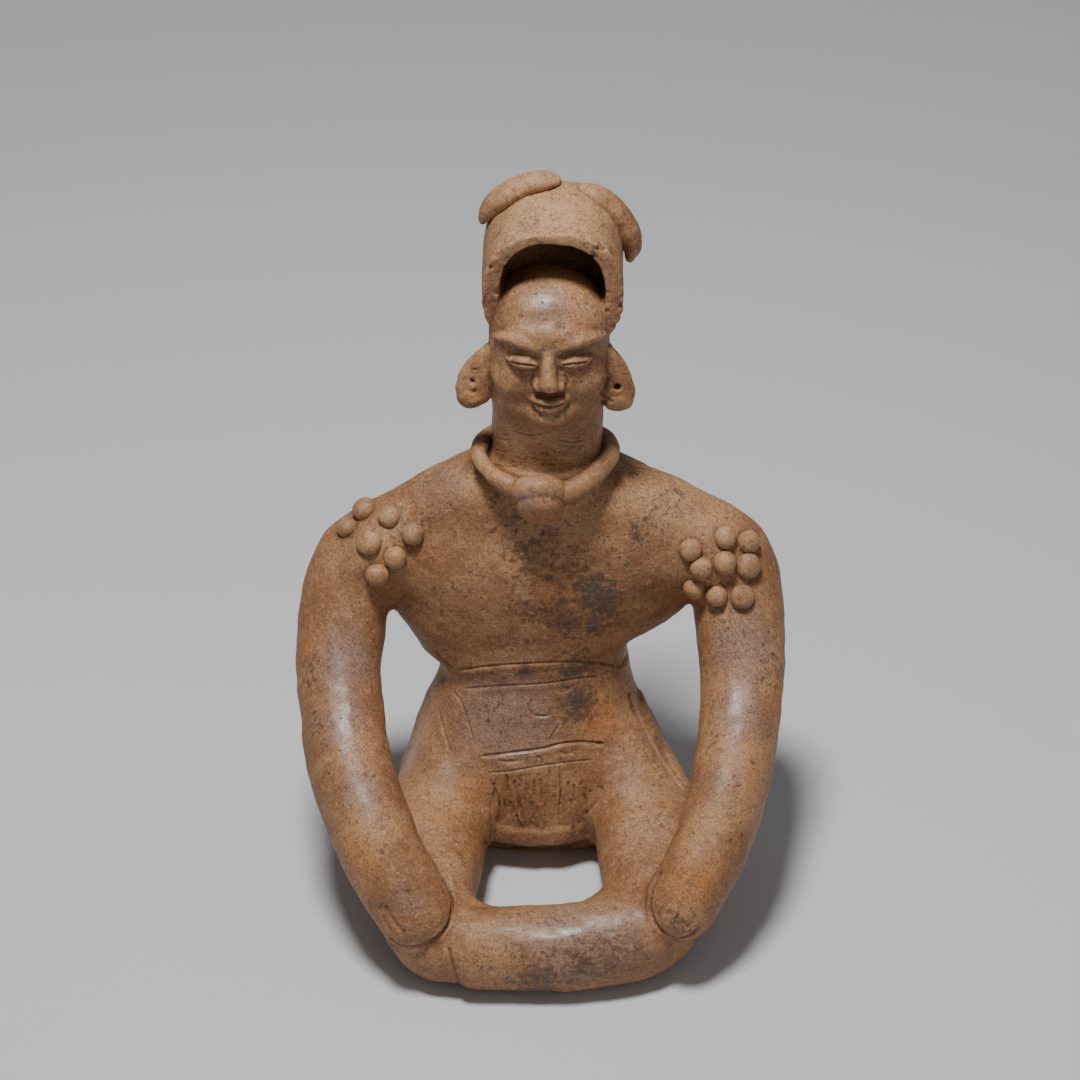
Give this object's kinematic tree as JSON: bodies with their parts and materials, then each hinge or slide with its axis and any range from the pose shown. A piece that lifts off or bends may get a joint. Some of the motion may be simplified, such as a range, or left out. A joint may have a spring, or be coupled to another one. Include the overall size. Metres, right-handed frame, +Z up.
{
  "type": "seated clay figure",
  "caption": "Seated fired-clay figure with a hood, a collar with a round pendant, clay pellets on the shoulders and hands resting on folded legs; it stands on its flat underside.",
  "frame": {"origin": "the middle of the seat's flat underside, on the surface the figure stands on", "axes": "+Z up, -Y the way the figure faces, +X to the viewer's right"},
  "size_m": [0.2306, 0.1865, 0.3406],
  "materials": {
    "burnished_clay": "burnished low-fired clay, orange-brown with dark mottling, worn sheen"
  },
  "bodies": {
    "root": {"seated_figure": "burnished_clay"}
  },
  "joints": []
}
